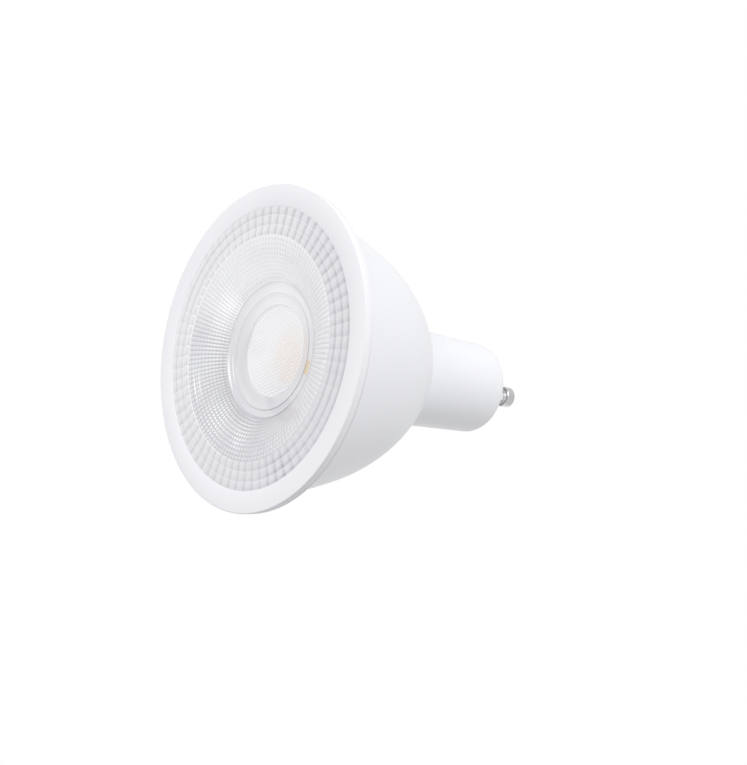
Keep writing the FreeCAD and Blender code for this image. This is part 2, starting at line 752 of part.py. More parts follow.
os.makedirs(OUT, exist_ok=True)
for obj in doc.Objects:
    bad = [state for state in obj.State if state in ("Invalid", "Error")]
    if bad:
        raise RuntimeError("%s is %s" % (obj.Label, bad))
total = 0
for node in NODES:
    shape = node.Shape
    if shape.isNull() or not shape.isValid():
        raise RuntimeError("%s has no valid shape" % node.Label)
    if len(shape.Solids) != 1:
        raise RuntimeError("%s has %d solids" % (node.Label, len(shape.Solids)))
    shape.exportStep("%s/%s.step" % (OUT, node.Label))
    box = shape.BoundBox
    facets = len(shape.tessellate(0.1)[1])
    total += facets
    print("%-20s volume %9.2f  x %7.2f %7.2f  y %7.2f %7.2f  z %7.2f %7.2f  facets %d" % (
        node.Label, shape.Volume, box.XMin, box.XMax, box.YMin, box.YMax, box.ZMin, box.ZMax, facets))
print("nodes %d facets %d" % (len(NODES), total))
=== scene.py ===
import math

import bpy
from mathutils import Matrix, Vector


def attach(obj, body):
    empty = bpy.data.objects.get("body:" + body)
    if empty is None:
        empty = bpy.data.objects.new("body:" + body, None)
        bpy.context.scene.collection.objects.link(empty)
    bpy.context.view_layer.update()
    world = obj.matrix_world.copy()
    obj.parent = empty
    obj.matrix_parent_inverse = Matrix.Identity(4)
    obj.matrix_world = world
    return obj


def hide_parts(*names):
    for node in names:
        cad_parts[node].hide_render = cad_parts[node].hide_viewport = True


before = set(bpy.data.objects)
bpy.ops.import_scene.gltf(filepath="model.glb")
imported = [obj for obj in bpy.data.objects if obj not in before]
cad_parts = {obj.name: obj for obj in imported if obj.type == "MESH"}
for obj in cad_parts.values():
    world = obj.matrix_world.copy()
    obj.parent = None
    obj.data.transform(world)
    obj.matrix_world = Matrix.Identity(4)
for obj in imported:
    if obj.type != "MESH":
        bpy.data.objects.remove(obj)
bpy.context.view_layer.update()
MM = 0.001


# Driver board
# A green fibreglass circuit board in the neck's rails. Copper tracks lie under
# the solder mask, and the components stand on both of its faces.

class Value:
    """A shader socket that can be used in sums."""

    def __init__(self, tree, socket):
        self.tree = tree
        self.socket = socket

    def maths(self, operation, *others):
        node = self.tree.nodes.new("ShaderNodeMath")
        node.operation = operation
        for place, item in enumerate((self,) + others):
            if isinstance(item, Value):
                self.tree.links.new(item.socket, node.inputs[place])
            else:
                node.inputs[place].default_value = item
        return Value(self.tree, node.outputs[0])

    def __add__(self, other):
        return self.maths("ADD", other)

    def __radd__(self, other):
        return self.maths("ADD", other)

    def __sub__(self, other):
        return self.maths("SUBTRACT", other)

    def __rsub__(self, other):
        return (self * -1.0) + other

    def __mul__(self, other):
        return self.maths("MULTIPLY", other)

    def __truediv__(self, other):
        return self.maths("DIVIDE", other)

    def __gt__(self, other):
        return self.maths("GREATER_THAN", other)

    def __lt__(self, other):
        return self.maths("LESS_THAN", other)


class Finish:
    """A material made of nodes, with its Principled shader ready."""

    def __init__(self, name):
        self.material = bpy.data.materials.new(name)
        self.material.use_nodes = True
        self.tree = self.material.node_tree
        self.shader = self.tree.nodes["Principled BSDF"]
        self.place = self.add("ShaderNodeTexCoord").outputs["Object"]

    def add(self, kind, settings=None, **sockets):
        """Any node: settings first, then values or links of its sockets."""
        node = self.tree.nodes.new(kind)
        for key, item in (settings or {}).items():
            setattr(node, key, item)
        for key, item in sockets.items():
            wanted = key.replace("_", " ")
            socket = next(s for s in node.inputs if s.name == wanted and s.enabled)
            self.put(socket, item)
        return node

    def put(self, socket, item):
        if isinstance(item, Value):
            self.tree.links.new(item.socket, socket)
        elif isinstance(item, bpy.types.NodeSocket):
            self.tree.links.new(item, socket)
        elif isinstance(item, tuple) and len(item) == 3 and socket.type == "RGBA":
            socket.default_value = (*item, 1.0)
        else:
            socket.default_value = item

    def wear(self, **sockets):
        """Set the Principled shader's own sockets."""
        for key, item in sockets.items():
            self.put(self.shader.inputs[key.replace("_", " ")], item)

    def noise(self, scale, detail=3.0):
        node = self.add("ShaderNodeTexNoise", None, Vector=self.place, Scale=scale, Detail=detail)
        return Value(self.tree, node.outputs[0])

    def axes(self):
        node = self.add("ShaderNodeSeparateXYZ", None, Vector=self.place)
        return [Value(self.tree, s) for s in node.outputs]

    def between(self, factor, low, high):
        """Colour that goes from low to high as factor goes from 0 to 1."""
        node = self.add("ShaderNodeMix", {"data_type": "RGBA"})
        self.put(node.inputs[0], factor)
        self.put(node.inputs[6], low)
        self.put(node.inputs[7], high)
        return node.outputs[2]

    def attribute(self, name):
        node = self.add("ShaderNodeAttribute", {"attribute_name": name})
        return Value(self.tree, node.outputs["Fac"])

    def bump(self, height, strength, distance):
        node = self.add("ShaderNodeBump", None, Strength=strength, Distance=distance, Height=height)
        return node.outputs["Normal"]

    def seen_by_camera(self):
        return Value(self.tree, self.add("ShaderNodeLightPath").outputs["Is Camera Ray"])

    def let_through(self, share):
        """Let a share of the light pass straight through."""
        blend = self.add("ShaderNodeMixShader")
        self.put(blend.inputs[0], share)
        self.put(blend.inputs[1], self.shader.outputs[0])
        self.put(blend.inputs[2], self.add("ShaderNodeBsdfTransparent").outputs[0])
        self.put(self.tree.nodes["Material Output"].inputs["Surface"], blend.outputs[0])


def coat(name, finish):
    """Give a carried-over CAD node its finish."""
    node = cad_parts[name]
    node.data.materials.clear()
    node.data.materials.append(finish.material)


green_board = Finish("green solder mask")
x, y, z = green_board.axes()
tracks = ((x * 900.0).maths("SINE") * (z * 620.0).maths("SINE")) > 0.25
weave = green_board.noise(2500.0)
relief = tracks * 0.6 + weave * 0.2
green_board.wear(
    Base_Color=green_board.between(relief, (0.006, 0.07, 0.025), (0.02, 0.17, 0.06)),
    Roughness=0.34,
    Normal=green_board.bump(tracks * 0.7 + weave * 0.2, 0.4, 0.00005),
)
coat("driver_board", green_board)


# Components on the driver board
# Two sleeved cans, a dipped film box, moulded chips, a lacquered resistor,
# a diode, a dipped varistor and a ferrite drum wound with enamelled wire.

def grained(name, scale, dark, light, rough, bump, detail=3.0, spread=0.0, metallic=0.0):
    """A finish with one even grain, which also roughens it by spread where that is given."""
    finish = Finish(name)
    grain = finish.noise(scale, detail)
    strength, depth = bump
    finish.wear(
        Base_Color=finish.between(grain, dark, light),
        Metallic=metallic,
        Roughness=grain * spread + rough if spread else rough,
        Normal=finish.bump(grain, strength, depth * MM),
    )
    return finish


can_sleeve = Finish("dark shrink sleeve")
grain = can_sleeve.noise(900.0)
can_sleeve.wear(
    Base_Color=can_sleeve.between(grain, (0.01, 0.013, 0.025), (0.022, 0.028, 0.05)),
    Roughness=can_sleeve.noise(400.0) * 0.15 + 0.3,
    Normal=can_sleeve.bump(grain, 0.2, 0.00004),
)
coat("input_capacitor", can_sleeve)
coat("output_capacitor", can_sleeve)

film_box = grained(
    "red moulded box", 1500.0, (0.36, 0.035, 0.02), (0.45, 0.055, 0.03),
    rough=0.28, bump=(0.25, 0.04),
)
coat("film_capacitor", film_box)

chip_black = grained(
    "black moulding compound", 3500.0, (0.012, 0.012, 0.013), (0.03, 0.03, 0.032),
    rough=0.6, bump=(0.5, 0.05), detail=4.0,
)
coat("driver_chip", chip_black)
coat("bridge_rectifier", chip_black)

diode_body = Finish("diode moulding with band")
x, y, z = diode_body.axes()
band = (z > 20.5 * MM) * (z < 21.2 * MM)
grain = diode_body.noise(3000.0)
diode_body.wear(
    Base_Color=diode_body.between(band, (0.015, 0.015, 0.016), (0.5, 0.5, 0.5)),
    Roughness=grain * 0.2 + 0.4,
    Normal=diode_body.bump(grain, 0.3, 0.00004),
)
coat("output_diode", diode_body)

resistor_lacquer = Finish("green-grey lacquer with rings")
x, y, z = resistor_lacquer.axes()
rings = (z * 2600.0).maths("SINE") > 0.72
resistor_lacquer.wear(
    Base_Color=resistor_lacquer.between(rings, (0.11, 0.22, 0.16), (0.25, 0.1, 0.03)),
    Roughness=resistor_lacquer.noise(1200.0) * 0.2 + 0.25,
    Normal=resistor_lacquer.bump(resistor_lacquer.noise(2200.0), 0.25, 0.00004),
)
coat("fusible_resistor", resistor_lacquer)

varistor_dip = grained(
    "blue dipped coating", 700.0, (0.008, 0.025, 0.13), (0.015, 0.05, 0.2),
    rough=0.3, bump=(0.6, 0.2), detail=2.0,
)
coat("varistor", varistor_dip)

ferrite = grained(
    "sintered ferrite", 4000.0, (0.014, 0.014, 0.015), (0.035, 0.035, 0.037),
    rough=0.45, bump=(0.4, 0.06), detail=5.0, spread=0.2,
)
coat("inductor_core", ferrite)

wire_pitch = 0.3 * MM
copper_turns = Finish("enamelled copper turns")
x, y, z = copper_turns.axes()
turns = (y * (2 * math.pi / wire_pitch)).maths("SINE") * 0.5 + 0.5
copper_turns.wear(
    Base_Color=copper_turns.between(turns, (0.2, 0.055, 0.018), (0.62, 0.24, 0.08)),
    Metallic=0.85,
    Roughness=0.32,
    Normal=copper_turns.bump(turns, 0.8, 0.00012),
)
coat("inductor_winding", copper_turns)


# Leads
# Stranded copper wire in soft insulation, soldered at both ends: red and black
# from the driver board to the LED board, and one to each contact pin.

red_pair, black_pair = ("led_lead_plus", "pin_lead_1"), ("led_lead_minus", "pin_lead_2")
for colour_name, slot_name, dark, light, wires in (
    ("red insulation", "lead_red", (0.3, 0.012, 0.01), (0.42, 0.02, 0.016), red_pair),
    ("black insulation", "lead_black", (0.01, 0.01, 0.01), (0.025, 0.025, 0.025), black_pair),
):
    insulation = grained(colour_name, 1600.0, dark, light, rough=0.35, bump=(0.25, 0.04), spread=0.2)
    for wire in wires:
        coat(wire, insulation)


# Housing
# Dome and neck are one white moulding with a satin surface. The neck tapers a
# little towards its rounded end, where the pins come out.

def arc_to(start, end, radius, steps):
    """Points from start to end on an arc that bows away from the axis, start left out."""
    (r0, z0), (r1, z1) = start, end
    half = math.hypot(r1 - r0, z1 - z0) / 2
    rise = math.sqrt(radius * radius - half * half)
    out = ((z1 - z0) / (2 * half), -(r1 - r0) / (2 * half))
    cr = (r0 + r1) / 2 - out[0] * rise
    cz = (z0 + z1) / 2 - out[1] * rise
    a0 = math.atan2(z0 - cz, r0 - cr)
    a1 = math.atan2(z1 - cz, r1 - cr)
    angles = [a0 + (a1 - a0) * i / steps for i in range(1, steps + 1)]
    return [(cr + radius * math.cos(a), cz + radius * math.sin(a)) for a in angles]


def turned(name, path, around=256, sharp=32.0, centre=(0.0, 0.0)):
    """A closed turned mesh from (radius, height) in millimetres. The path goes up the outside."""
    points, faces, rings = [], [], []
    for r, h in path:
        if r < 1e-6:
            rings.append([len(points)])
            points.append((centre[0] * MM, centre[1] * MM, h * MM))
        else:
            rings.append(list(range(len(points), len(points) + around)))
            for i in range(around):
                a = 2 * math.pi * i / around
                across, down = centre[0] + r * math.cos(a), centre[1] + r * math.sin(a)
                points.append((across * MM, down * MM, h * MM))
    open_ends = path[0][0] < 1e-6 and path[-1][0] < 1e-6
    count = len(rings) - 1 if open_ends else len(rings)
    for k in range(count):
        low, high = rings[k], rings[(k + 1) % len(rings)]
        for i in range(around):
            j = (i + 1) % around
            if len(low) == 1:
                faces.append((low[0], high[j], high[i]))
            elif len(high) == 1:
                faces.append((low[i], low[j], high[0]))
            else:
                faces.append((low[i], low[j], high[j], high[i]))
    mesh = bpy.data.meshes.new(name)
    mesh.from_pydata(points, [], faces)
    mesh.shade_smooth()
    mesh.set_sharp_from_angle(angle=math.radians(sharp))
    piece = bpy.data.objects.new(name, mesh)
    bpy.context.scene.collection.objects.link(piece)
    return piece


def dress(piece, finish, slot, *nodes):
    """Finish a piece, fix it to the lamp and let it stand for its CAD nodes."""
    if finish is not None:
        piece.data.materials.clear()
        piece.data.materials.append(finish.material)
    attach(piece, "root")
    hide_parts(*nodes)


mouth_z, mouth_r, mouth_bevel = 1.1, 22.8, 0.15
dome_mid, lower_bow = (19.32, 14.0), 90.8
dome_end, upper_bow = (8.14, 29.2), 32.3
neck_start_r, neck_start_z = 8.06, 30.0
neck_end_r, neck_end_z, neck_round = 7.56, 47.7, 1.7
wall, neck_wall, end_wall = 1.5, 1.4, 2.6
ledge_z, ledge_r, cup_bore_r = 3.0, 20.4, 21.4

outside = [(mouth_r - mouth_bevel, mouth_z), (mouth_r, mouth_z + mouth_bevel)]
outside += arc_to(outside[-1], dome_mid, lower_bow, 14)
dome = arc_to(dome_mid, dome_end, upper_bow, 26)
outside += dome[:-1]
outside += [(8.30, 29.02), (8.16, 29.22), (8.10, 29.5), (neck_start_r, neck_start_z)]
taper_end = (neck_end_r, neck_end_z - neck_round)
taper_r, taper_z = taper_end[0] - neck_start_r, taper_end[1] - neck_start_z
outside += [(neck_start_r + taper_r * t / 6, neck_start_z + taper_z * t / 6) for t in range(1, 7)]
outside += arc_to(taper_end, (neck_end_r - neck_round, neck_end_z), neck_round, 10)
inside = [
    (neck_end_r - neck_wall, neck_end_z - end_wall),
    (dome_end[0] - neck_wall, dome_end[1] - wall / 2),
]
back = arc_to((ledge_r, ledge_z), (dome_mid[0] - wall, dome_mid[1] - 0.5), lower_bow - wall, 6)
back += arc_to(back[-1], inside[-1], upper_bow - wall, 12)[:-1]
inside += back[::-1]
inside += [(ledge_r, ledge_z), (cup_bore_r, ledge_z), (cup_bore_r, mouth_z)]
housing = turned("housing", [(0, neck_end_z - end_wall)] + inside + outside + [(0, neck_end_z)])

moulded_white = Finish("white moulded housing")
fine = moulded_white.noise(2600.0, 3.0)
broad = moulded_white.noise(60.0, 2.0)
moulded_white.wear(
    Base_Color=moulded_white.between(broad, (0.85, 0.855, 0.89), (0.88, 0.885, 0.915)),
    Roughness=moulded_white.noise(300.0) * 0.08 + 0.38,
    Normal=moulded_white.bump(fine, 0.12, 0.00003),
    Specular_IOR_Level=0.4,
)
dress(housing, moulded_white, "housing_white", "housing_shell")


# Contact pins
# Turned pins with a collar on the neck's end and a chamfered head, nickel
# plated. They are pressed through the end wall.

pin_half_pitch, stem_r, head_r = 5.0, 1.1, 1.7
head_under, pin_tip = 49.05, 50.9
pin_path = [(0, 43.1), (0.95, 43.1), (stem_r, 43.25), (stem_r, neck_end_z)]
pin_path += [(1.45, neck_end_z), (1.45, 48.02), (1.37, 48.1), (1.12, 48.1)]
pin_path += [(stem_r, 48.16), (stem_r, 49.0), (1.14, head_under), (1.45, head_under)]
pin_path += [(1.62, 49.1), (head_r, 49.25), (head_r, 50.6), (1.66, 50.75)]
pin_path += [(1.56, 50.85), (1.4, pin_tip), (0, pin_tip)]

pin_metal = Finish("nickel plate")
x, y, z = pin_metal.axes()
lathe_marks = (z * 42000.0).maths("SINE")
scuff = pin_metal.noise(900.0, 4.0)
neck_metal = pin_metal.between(scuff, (0.88, 0.88, 0.89), (0.96, 0.96, 0.97))
# The head is painted darker than the neck and collar, as a painted dark reflection of its
# surroundings.
head_dark_reflection = pin_metal.between(scuff, (0.42, 0.42, 0.43), (0.56, 0.56, 0.57))
pin_metal.wear(
    Base_Color=pin_metal.between(z > (head_under - 0.01) * MM, neck_metal, head_dark_reflection),
    Metallic=1.0,
    Roughness=scuff * 0.12 + 0.2,
    Normal=pin_metal.bump(lathe_marks * 0.3 + scuff, 0.25, 0.00003),
)
for side, number in ((1, "1"), (-1, "2")):
    pin = turned("pin_" + number, pin_path, 96, 28.0, (pin_half_pitch * side, 0.0))
    dress(pin, pin_metal, "pin_nickel", "contact_pin_" + number)


# Heat sink cup, thermal pad and LED board
# A pressed aluminium cup sits with its flange on the housing's ledge. The pad
# and the white board lie on its floor.

pressed_aluminium = grained(
    "pressed aluminium", 500.0, (0.82, 0.82, 0.83), (0.92, 0.92, 0.93),
    rough=0.38, bump=(0.2, 0.1), detail=4.0, spread=0.15, metallic=0.6,
)
coat("heat_sink_cup", pressed_aluminium)

grey_pad = grained(
    "grey thermal pad", 1800.0, (0.24, 0.26, 0.29), (0.32, 0.34, 0.37),
    rough=0.75, bump=(0.3, 0.04),
)
coat("thermal_pad", grey_pad)

white_mask = grained(
    "white solder mask", 1500.0, (0.86, 0.86, 0.84), (0.91, 0.91, 0.89),
    rough=0.35, bump=(0.2, 0.03),
)
coat("led_board", white_mask)


# Light source
# A bright carrier plate with a round field of yellow phosphor inside a white
# silicone dam, and two pan-head screws at the board's sides.

carrier_plate = grained(
    "bright carrier plate", 1200.0, (0.84, 0.84, 0.82), (0.9, 0.9, 0.88),
    rough=0.3, bump=(0.15, 0.03), spread=0.15,
)
coat("led_chip_carrier", carrier_plate)

silicone_dam = grained(
    "white silicone dam", 900.0, (0.86, 0.86, 0.84), (0.92, 0.92, 0.9),
    rough=0.45, bump=(0.3, 0.05),
)
coat("led_chip_dam", silicone_dam)

phosphor = grained(
    "yellow phosphor", 2500.0, (0.9, 0.42, 0.08), (0.98, 0.56, 0.16),
    rough=0.4, bump=(0.3, 0.04), detail=4.0,
)
coat("led_phosphor", phosphor)

zinc_plate = grained(
    "zinc plated steel", 1500.0, (0.5, 0.5, 0.52), (0.68, 0.68, 0.7),
    rough=0.25, bump=(0.2, 0.04), detail=4.0, spread=0.15, metallic=1.0,
)
coat("board_screw_1", zinc_plate)
coat("board_screw_2", zinc_plate)


# Lens
# One clear moulding. Three rows of pillow facets run round its edge, a bowl of
# small cushions falls to two flat steps, and fine lenslets cover the middle.

facets_round, steps_per_facet = 68, 8
lens_around = facets_round * steps_per_facet
row_borders = [(17.25, 0.12), (18.75, 0.15), (20.3, 0.14), (21.59, 0.1)]
row_steps = 6
bowl_inner, bowl_outer = (10.65, 2.72), row_borders[0]
bowl_rows, bowl_steps = 11, 4
spread_bend, fall_bend = 0.27, 0.72
bowl_path = []
for k in range(bowl_rows * bowl_steps + 1):
    t = k / (bowl_rows * bowl_steps)
    spread = (1 - spread_bend) * t + spread_bend * t * t
    depth = (1 - t) * ((1 - fall_bend) + fall_bend * (1 - t))
    r = bowl_inner[0] + (bowl_outer[0] - bowl_inner[0]) * spread
    bowl_path.append((r, bowl_outer[1] + (bowl_inner[1] - bowl_outer[1]) * depth))

# The disc in the middle and the two flat steps round it.
lenslet_pitch = 0.54
disc_z, disc_r, disc_step, disc_rings = 3.98, 6.95, 0.1, 68
steps_path = [(disc_r, disc_z), (7.05, 3.9), (7.15, 3.6), (7.25, 3.5)]
steps_path += [(8.1, 3.48), (8.8, 3.46), (8.88, 3.4), (8.95, 3.1), (9.03, 3.02)]
steps_path += [(9.7, 3.0), (10.4, 2.98), (10.48, 2.94), (10.55, 2.8)]

# Each ring of the path belongs to one kind, and in the facets and the bowl it
# has a place across its cell, which is a whole number at the cell's border.
LENSLETS, PLAIN, FACETS, BOWL, BACK = -1, 0, 1, 2, 3
lens_path = [(disc_step * k, disc_z) for k in range(disc_rings + 1)]
kinds = [LENSLETS] * len(lens_path) + [PLAIN] * len(steps_path) + [BOWL] * len(bowl_path)
kinds[-1] = PLAIN
lens_path += steps_path
cells = [-1.0] * len(lens_path) + [k / bowl_steps for k in range(len(bowl_path))]
lens_path += bowl_path
for row, ((r0, h0), (r1, h1)) in enumerate(zip(row_borders, row_borders[1:])):
    for k in range(1, row_steps + 1):
        lens_path.append((r0 + (r1 - r0) * k / row_steps, h0 + (h1 - h0) * k / row_steps))
        cells.append(row + k / row_steps)
        kinds.append(FACETS)
rim = [(21.595, 0.34), (22.0, 0.352)]
back_path = [(22.0, 1.1), (21.1, 1.1), (21.1, 1.9), (17.6, 1.9), (16.0, 2.25), (14.4, 2.75)]
back_path += [(12.8, 3.4), (10.9, 4.56), (9.2, 5.2), (7.6, 5.51), (3.5, 5.51), (0, 5.51)]
lens_path += rim + back_path
cells += [-1.0] * len(rim + back_path)
kinds += [PLAIN] * len(rim) + [BACK] * len(back_path)

# The turned blank, whose points carry the place in the cell, the kind and the
# slope of the bowl.
lens_blank = turned("lens_blank", lens_path, lens_around, 180.0)
cell_of = lens_blank.data.attributes.new("cell", "FLOAT", "POINT")
kind_of = lens_blank.data.attributes.new("kind", "FLOAT", "POINT")
slope_of = lens_blank.data.attributes.new("slope", "FLOAT", "POINT")
point_at = 0
for k, ((r, h), cell, kind) in enumerate(zip(lens_path, cells, kinds)):
    slope = 0.0
    if kind == BOWL:
        (r0, h0), (r1, h1) = lens_path[k - 1], lens_path[k + 1]
        slope = (h1 - h0) / (r1 - r0)
    for i in range(1 if r < 1e-6 else lens_around):
        cell_of.data[point_at].value = max(cell, 0.0)
        kind_of.data[point_at].value = kind
        slope_of.data[point_at].value = slope
        point_at += 1


class Field(Value):
    """The same sums for a geometry tree."""

    def maths(self, operation, *others):
        return Field(self.tree, super().maths(operation, *others).socket)


# The tree swells each facet, cushion and lenslet out of the turned blank.
lens_sizes = {
    "Facets round the edge": float(facets_round),
    "Pillow swell round": 0.055 * MM,
    "Pillow swell across": 0.05 * MM,
    "Cushion swell": 0.085 * MM,
    "Lenslet pitch": lenslet_pitch * MM,
    "Lenslet swell": 0.009 * MM,
}
facet_tree = bpy.data.node_groups.new("lens facets", "GeometryNodeTree")
face = facet_tree.interface
face.new_socket("Geometry", in_out="INPUT", socket_type="NodeSocketGeometry")
for input_name in lens_sizes:
    face.new_socket(input_name, in_out="INPUT", socket_type="NodeSocketFloat")
for input_name in ("Front", "Back"):
    face.new_socket(input_name, in_out="INPUT", socket_type="NodeSocketMaterial")
face.new_socket("Geometry", in_out="OUTPUT", socket_type="NodeSocketGeometry")
came_in = facet_tree.nodes.new("NodeGroupInput")
goes_out = facet_tree.nodes.new("NodeGroupOutput")


def field_node(kind, **settings):
    node = facet_tree.nodes.new(kind)
    for key, item in settings.items():
        setattr(node, key, item)
    return node


def stored(name):
    node = field_node("GeometryNodeInputNamedAttribute", data_type="FLOAT")
    node.inputs["Name"].default_value = name
    return Field(facet_tree, node.outputs["Attribute"])


def given(name):
    """One of the tree's own inputs."""
    return Field(facet_tree, came_in.outputs[name])


place = field_node("GeometryNodeInputPosition")
split = field_node("ShaderNodeSeparateXYZ")
facet_tree.links.new(place.outputs[0], split.inputs[0])
px, py = Field(facet_tree, split.outputs[0]), Field(facet_tree, split.outputs[1])
turn = py.maths("ARCTAN2", px) / (2 * math.pi) + 1.0
cell_round = turn * given("Facets round the edge")
cell, kind = stored("cell"), stored("kind")


def honeycomb(across, down, pitch):
    """Sum of three waves, 3 in the middle of each six-sided lenslet."""
    waves = across * 0.0
    for degrees in (0.0, 60.0, 120.0):
        c, s = math.cos(math.radians(degrees)), math.sin(math.radians(degrees))
        waves = waves + ((across * c + down * s) * (2 * math.pi) / pitch).maths("COSINE")
    return waves


def swell(share):
    """0 at a cell's borders and 1 in its middle."""
    inside_cell = (share + 0.0001).maths("FRACT")
    return 1.0 - (inside_cell * 2.0 - 1.0).maths("POWER", 2.0)


pillow = swell(cell_round) * given("Pillow swell round")
pillow = pillow + swell(cell) * given("Pillow swell across")
cushion = (swell(cell_round * 2.0) + swell(cell) * 0.4) * given("Cushion swell")
lenslet = honeycomb(px, py, given("Lenslet pitch")) * given("Lenslet swell")
lift = pillow * (kind < FACETS + 0.5) * (kind > FACETS - 0.5)
lift = lift + cushion * (kind < BOWL + 0.5) * (kind > BOWL - 0.5)
lift = lift + lenslet * (kind < LENSLETS + 0.5)
normal = field_node("GeometryNodeInputNormal")
offset = field_node("ShaderNodeVectorMath", operation="SCALE")
facet_tree.links.new(normal.outputs[0], offset.inputs[0])
facet_tree.links.new(lift.socket, offset.inputs["Scale"])
move = field_node("GeometryNodeSetPosition")
facet_tree.links.new(came_in.outputs["Geometry"], move.inputs["Geometry"])
facet_tree.links.new(offset.outputs[0], move.inputs["Offset"])
real = field_node("GeometryNodeRealizeInstances")
facet_tree.links.new(move.outputs[0], real.inputs[0])
paint = field_node("GeometryNodeSetMaterial")
facet_tree.links.new(real.outputs[0], paint.inputs["Geometry"])
facet_tree.links.new(came_in.outputs["Front"], paint.inputs["Material"])
paint_back = field_node("GeometryNodeSetMaterial")
facet_tree.links.new(paint.outputs[0], paint_back.inputs["Geometry"])
facet_tree.links.new((kind > BACK - 0.5).socket, paint_back.inputs["Selection"])
facet_tree.links.new(came_in.outputs["Back"], paint_back.inputs["Material"])
facet_tree.links.new(paint_back.outputs[0], goes_out.inputs[0])

lens_front = Finish("lens plastic, front")
x, y, z = lens_front.axes()
reach = (x * x + y * y).maths("SQRT")
away = x / reach
beside = y / reach * -1.0


def ring(inner_bowl_glow, outer):
    """1 between two radii given in millimetres."""
    return (reach > inner_bowl_glow * MM) * (reach < outer * MM)


def held(value):
    """Kept between 0 and 1."""
    return value.maths("MINIMUM", 1.0).maths("MAXIMUM", 0.0)


def from_place(cx, cy):
    """Distance from a place given in millimetres."""
    return ((x - cx * MM) * (x - cx * MM) + (y - cy * MM) * (y - cy * MM)).maths("SQRT")


def spot(cx, cy, size):
    """1 at a place given in millimetres, falling to 0 at its size from it."""
    return held(1.0 - from_place(cx, cy) / (size * MM))


# The parts of the front face, each 1 inside and 0 outside.
rows = reach > (bowl_outer[0] + 0.02) * MM
bowl = ring(10.6, 17.23)
middle = (reach < disc_r * MM) * (z > (disc_z - 0.18) * MM)
flats = (reach < 10.6 * MM) * (1.0 - middle)
dots = (honeycomb(x, y, lenslet_pitch * MM) > 0.1) * middle

# Place in the cell, from -1 to 1 round the lens and across it.
round_share = (y.maths("ARCTAN2", x) / (2 * math.pi) + 1.0) * facets_round
round_at = (round_share * (1.0 + bowl)).maths("FRACT") * 2.0 - 1.0
across_at = (lens_front.attribute("cell") + 0.0001).maths("FRACT") * 2.0 - 1.0

# Painted shade on one side of each cell and painted light on the other.
shade, light = 0.0, 0.0
left_bowl = bowl * held(beside * 0.8 - away * 1.2) * held(away * -2.0)
for place_in_cell, facing, turned_by in ((round_at, beside, 0.5), (across_at, away, -0.8)):
    far_side = place_in_cell * facing.maths("SIGN")
    weight = facing.maths("ABSOLUTE") + left_bowl * turned_by
    weight = weight.maths("MAXIMUM", 0.0)
    band = held(far_side * 1.8) * held((1.02 - far_side) * 8.0)
    shade = band * weight + shade
    light = held(far_side * -2.0 - 0.7) * weight + light

# Painted shade and painted highlights, by their place on the lens.
upper_right_shade = held((x * 0.7 - y * 0.7) / reach)
row_shade = upper_right_shade * 0.14 + spot(13.0, 15.6, 5.5) * 0.3 + away * 0.05 + 0.28
border_highlight = across_at.maths("ABSOLUTE") > 0.88
groove_shade = round_at.maths("ABSOLUTE").maths("MAXIMUM", across_at.maths("ABSOLUTE")) > 0.66
groove_shade_depth = held((y * 0.95 - x * 0.3) / reach) * 0.34 + 0.05
raised_edge_highlight = ring(17.22, 17.42) + (round_at.maths("ABSOLUTE") > 0.84) * ring(17.27, 18.2)
shade_gradient = (y * 0.2 + x * 0.98) / reach * rows + (y * 0.95 + x * 0.3) / reach * (bowl + flats)
lower_left_shade = held((y * 0.8 - x * 0.6) / reach)
step_edge_shade = ring(9.05, 9.25) + ring(10.2, 10.66)
lower_right_shade = held((x * 0.6 + y * 0.8) * 130.0)

# Painted orange specks for the phosphor seen through the lenslets, and two slips of painted orange
# reflection of it beside them.
painted_phosphor_specks = dots * (from_place(2.3, 1.2) < 4.1 * MM)
painted_phosphor_specks = painted_phosphor_specks * ((lens_front.noise(2600.0, 0.0) + x * 26.0) > 0.59)
phosphor_reflections = ring(9.25, 9.95) * (x > 0.0) * (y > -0.4 * MM) * (y < 1.7 * MM) * 0.55
phosphor_reflections = phosphor_reflections + ring(7.98, 8.12) * (x > 0.0) * (y > -4.3 * MM) * (y < -1.2 * MM) * 0.2

# The colours, laid one over another: the plastic's own tones, then painted shade and painted
# highlights, then the painted phosphor.
painted_shade_colour, bright = (0.36, 0.36, 0.41), (1.0, 1.0, 1.0)
layers = (
    (bowl + flats, (0.90, 0.90, 0.93)),
    (middle, (0.88, 0.88, 0.91)),
    (dots, (0.96, 0.96, 0.98)),
    (shade * (rows * row_shade + bowl * 0.15), painted_shade_colour),
    (light * (rows + bowl) * 0.2, bright),
    (border_highlight * (rows * 0.4 + bowl * 0.15), (0.95, 0.95, 1.0)),
    (groove_shade * bowl * groove_shade_depth, painted_shade_colour),
    # Painted shade on the left of the bowl.
    (spot(-14.9, 1.0, 5.0) * bowl * 0.25, painted_shade_colour),
    (raised_edge_highlight * (0.2 - away * 0.5), bright),
    ((shade_gradient * 0.5 + 0.5) * (rows * 0.22 + (bowl + flats) * 0.2), painted_shade_colour),
    # Painted shade on the flats at the left and right and towards the lower left.
    (away * away * flats * 0.13, painted_shade_colour),
    (lower_left_shade * flats * 0.16, painted_shade_colour),
    (step_edge_shade * held(away * 0.5 - beside * 0.2 + 0.25), (0.32, 0.33, 0.38)),
    ((1.0 - dots) * middle * lower_right_shade * 0.25, painted_shade_colour),
    (painted_phosphor_specks * 0.42, (0.86, 0.68, 0.50)),
    (phosphor_reflections, (0.78, 0.48, 0.07)),
)
grain = lens_front.noise(700.0)
plastic = lens_front.between(grain, (0.81, 0.81, 0.84), (0.87, 0.87, 0.90))
for share, colour in layers:
    plastic = lens_front.between(share, plastic, colour)
